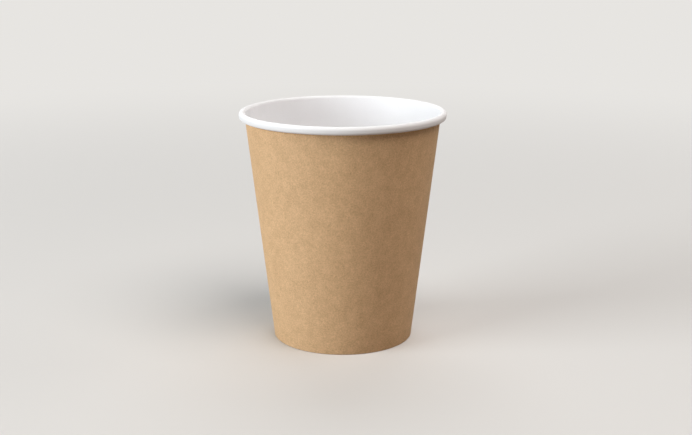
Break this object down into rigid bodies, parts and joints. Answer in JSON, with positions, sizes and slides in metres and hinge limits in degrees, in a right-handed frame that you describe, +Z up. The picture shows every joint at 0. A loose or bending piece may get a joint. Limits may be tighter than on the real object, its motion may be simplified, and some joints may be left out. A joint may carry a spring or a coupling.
{
  "type": "paper cup",
  "caption": "Single-wall paper cup for hot drinks: tapered kraft board wall with a white lining, rolled rim, lapped side seam and a recessed white bottom disc crimped into the hem.",
  "frame": {"origin": "centre of the foot ring, on the table", "axes": "+Z runs up the cup's axis to the open mouth; the side seam's lap starts 160 degrees from +X towards +Y, so it faces away from a viewer on -Y"},
  "size_m": [0.08, 0.08, 0.09],
  "materials": {
    "kraft_board": "matt uncoated kraft, brown fibre outside and white coated lining inside",
    "white_board": "smooth white board with a thin satin coating"
  },
  "bodies": {
    "root": {"side_wall": "kraft_board", "bottom_disc": "white_board"}
  },
  "joints": []
}
